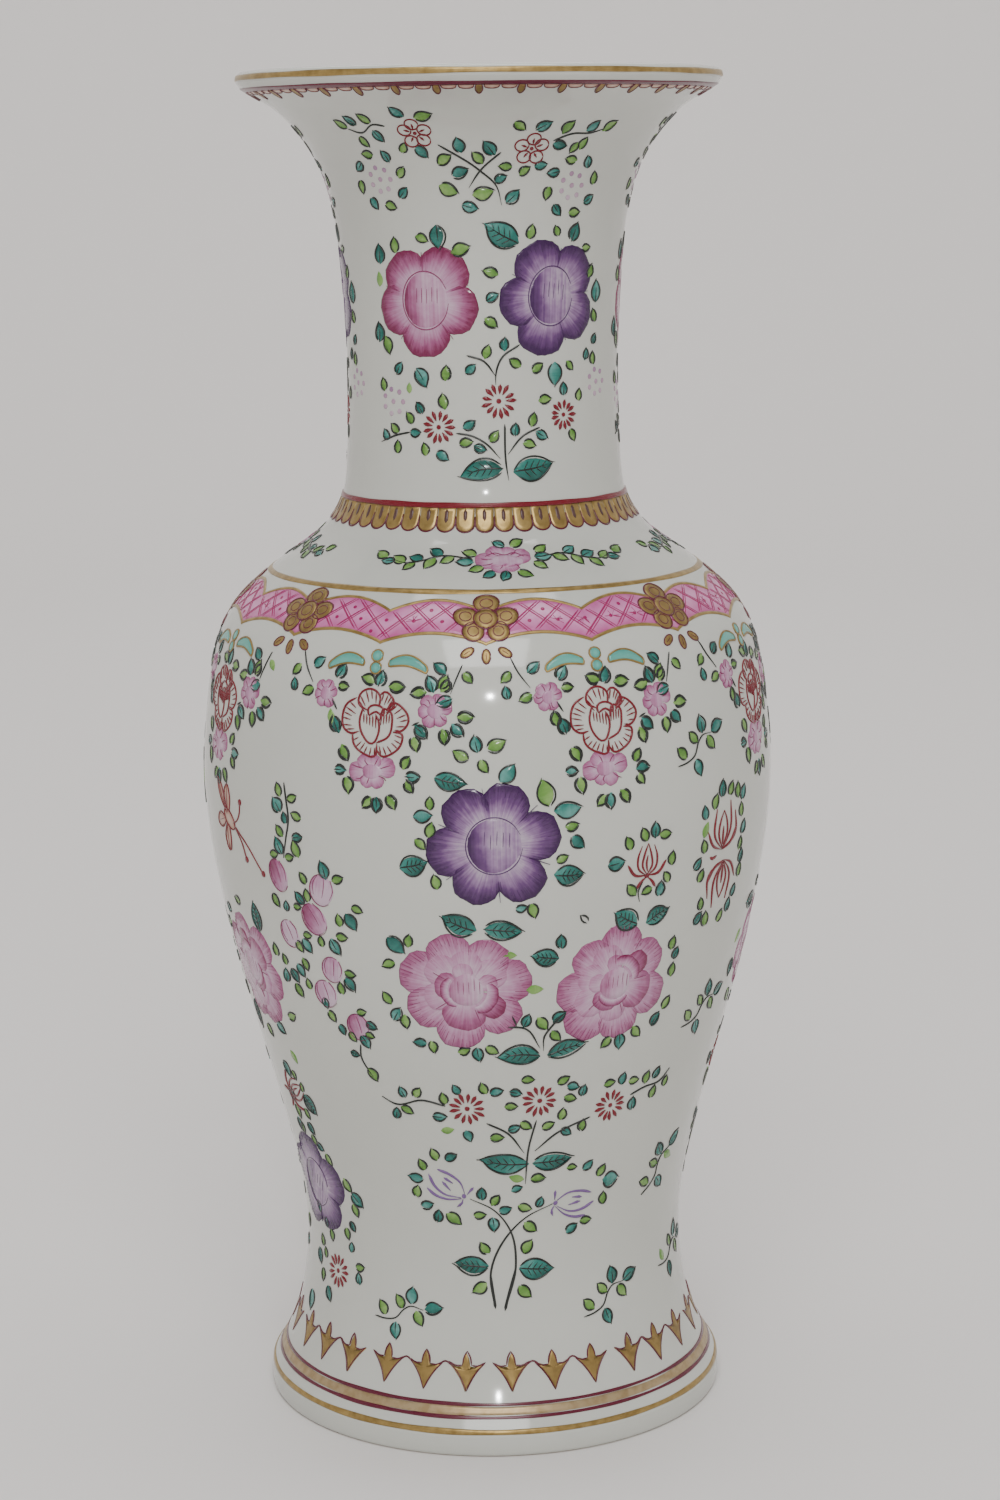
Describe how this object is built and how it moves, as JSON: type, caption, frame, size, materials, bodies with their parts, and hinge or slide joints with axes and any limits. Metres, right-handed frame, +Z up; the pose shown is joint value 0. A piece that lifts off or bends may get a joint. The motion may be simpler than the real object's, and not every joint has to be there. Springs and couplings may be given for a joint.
{
  "type": "porcelain vase",
  "caption": "Baluster vase in glazed porcelain with a trumpet mouth, a slender neck, a full belly and a spreading foot, painted in enamels and lined in gilt.",
  "frame": {"origin": "centre of the ring that the vase stands on, at the resting plane", "axes": "+Z up along the vase's axis, -Y towards the viewer of the front, +X to that viewer's right"},
  "size_m": [0.15, 0.15, 0.35],
  "materials": {
    "glazed_porcelain": "clear feldspathic glaze with a faint green-grey tone",
    "gilding": "fired gold, softly burnished",
    "puce_enamel": "glossy overglaze enamel",
    "iron_red_enamel": "thin satin overglaze enamel",
    "pink_enamel": "glossy opaque overglaze enamel",
    "purple_enamel": "glossy opaque overglaze enamel",
    "green_enamel": "glossy translucent overglaze enamel",
    "turquoise_enamel": "glossy opaque overglaze enamel",
    "outline_enamel": "thin matt outline drawn under the enamels"
  },
  "bodies": {
    "root": {"vase_body": "glazed_porcelain", "rim_gilt_line": "gilding", "rim_puce_line": "puce_enamel", "collar_red_line": "iron_red_enamel", "collar_gilt_band": "gilding", "shoulder_gilt_line": "gilding", "trellis_band": "pink_enamel", "foot_puce_line_upper": "puce_enamel", "foot_gilt_band": "gilding", "foot_puce_line_lower": "puce_enamel", "foot_gilt_line": "gilding"}
  },
  "joints": []
}
